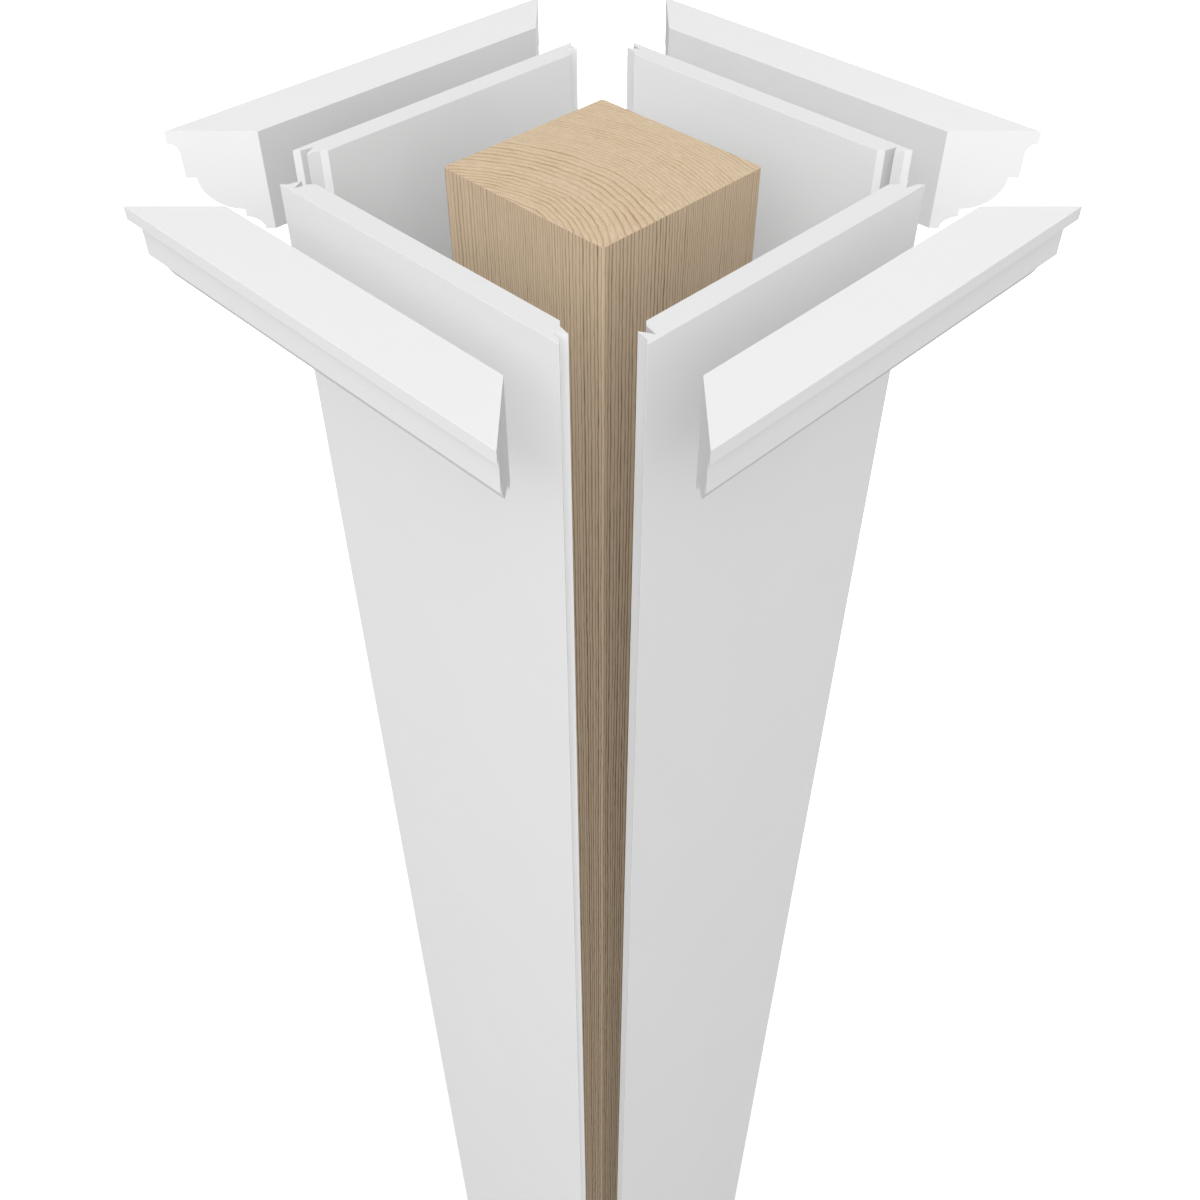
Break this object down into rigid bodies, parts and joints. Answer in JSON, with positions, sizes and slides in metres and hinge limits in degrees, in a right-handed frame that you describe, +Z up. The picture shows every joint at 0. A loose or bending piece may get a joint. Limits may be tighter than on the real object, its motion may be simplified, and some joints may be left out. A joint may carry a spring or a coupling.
{
  "type": "square column",
  "caption": "Square porch column with its pieces set apart: a timber post inside white wrap panels with lock-mitre edges, and mitred crown moulding round the top.",
  "frame": {"origin": "on the ground at the centre of the post", "axes": "+Z up along the post; the front wrap panel faces -Y and the right one faces +X"},
  "size_m": [0.47, 0.47, 2.4384],
  "materials": {
    "timber": "sawn softwood, bare, with close straight grain and curved growth rings on the end",
    "white_pvc": "smooth white cellular PVC, satin to matte"
  },
  "bodies": {
    "root": {"post": "timber", "wrap_panel_front": "white_pvc", "wrap_panel_right": "white_pvc", "wrap_panel_back": "white_pvc", "wrap_panel_left": "white_pvc", "crown_front": "white_pvc", "crown_right": "white_pvc", "crown_back": "white_pvc", "crown_left": "white_pvc"}
  },
  "joints": []
}
